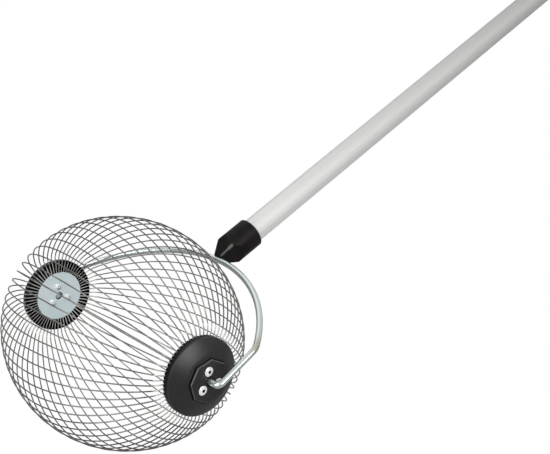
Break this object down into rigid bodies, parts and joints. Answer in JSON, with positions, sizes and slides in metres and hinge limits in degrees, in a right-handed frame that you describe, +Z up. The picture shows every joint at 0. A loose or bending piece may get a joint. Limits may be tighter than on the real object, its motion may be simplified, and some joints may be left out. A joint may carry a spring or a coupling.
{
  "type": "nut gatherer",
  "caption": "Rolling nut gatherer: an oblong cage of spring wires turns between two comb hubs on a rod bail at the end of a long tube handle; nuts squeeze in between the wires.",
  "frame": {"origin": "middle of the hand grip, on the handle's axis", "axes": "+Z up; +Y level along the handle, from the cage towards the grip; +X along the cage's axle. The handle is tilted 23.5 degrees above +Y, as held in use"},
  "size_m": [0.3006, 1.1873, 0.5845],
  "materials": {
    "tube_aluminium": "drawn, satin",
    "grip_rubber": "soft moulded, matte",
    "ferrule_plastic": "moulded, glossy",
    "hub_plastic": "moulded, fine grain",
    "bail_steel": "zinc plated",
    "zinc_steel": "zinc plated",
    "plate_steel": "zinc plated, blue passivated",
    "rivet_aluminium": "bright",
    "mandrel_steel": "plain",
    "spring_wire": "drawn, dark"
  },
  "bodies": {
    "handle": {"handle_tube": "tube_aluminium", "hand_grip": "grip_rubber", "ferrule": "ferrule_plastic", "stem": "zinc_steel", "stem_washer": "zinc_steel", "stem_nut": "zinc_steel", "bail": "bail_steel"},
    "cage": {"hub_right": "hub_plastic", "clamp_plate_right": "plate_steel", "rivets_right": "rivet_aluminium", "rivet_mandrels_right": "mandrel_steel", "hub_left": "hub_plastic", "clamp_plate_left": "plate_steel", "rivets_left": "rivet_aluminium", "rivet_mandrels_left": "mandrel_steel", "cage_wires_01": "spring_wire", "cage_wires_02": "spring_wire", "cage_wires_03": "spring_wire", "cage_wires_04": "spring_wire", "cage_wires_05": "spring_wire", "cage_wires_06": "spring_wire", "cage_wires_07": "spring_wire", "cage_wires_08": "spring_wire", "cage_wires_09": "spring_wire", "cage_wires_10": "spring_wire", "cage_wires_11": "spring_wire", "cage_wires_12": "spring_wire"}
  },
  "joints": [
    {"name": "cage_spin", "type": "hinge", "parent": "handle", "child": "cage", "pos_m": [-0.0075, -0.98767, -0.42945], "axis": [1, 0, 0], "continuous": true}
  ]
}
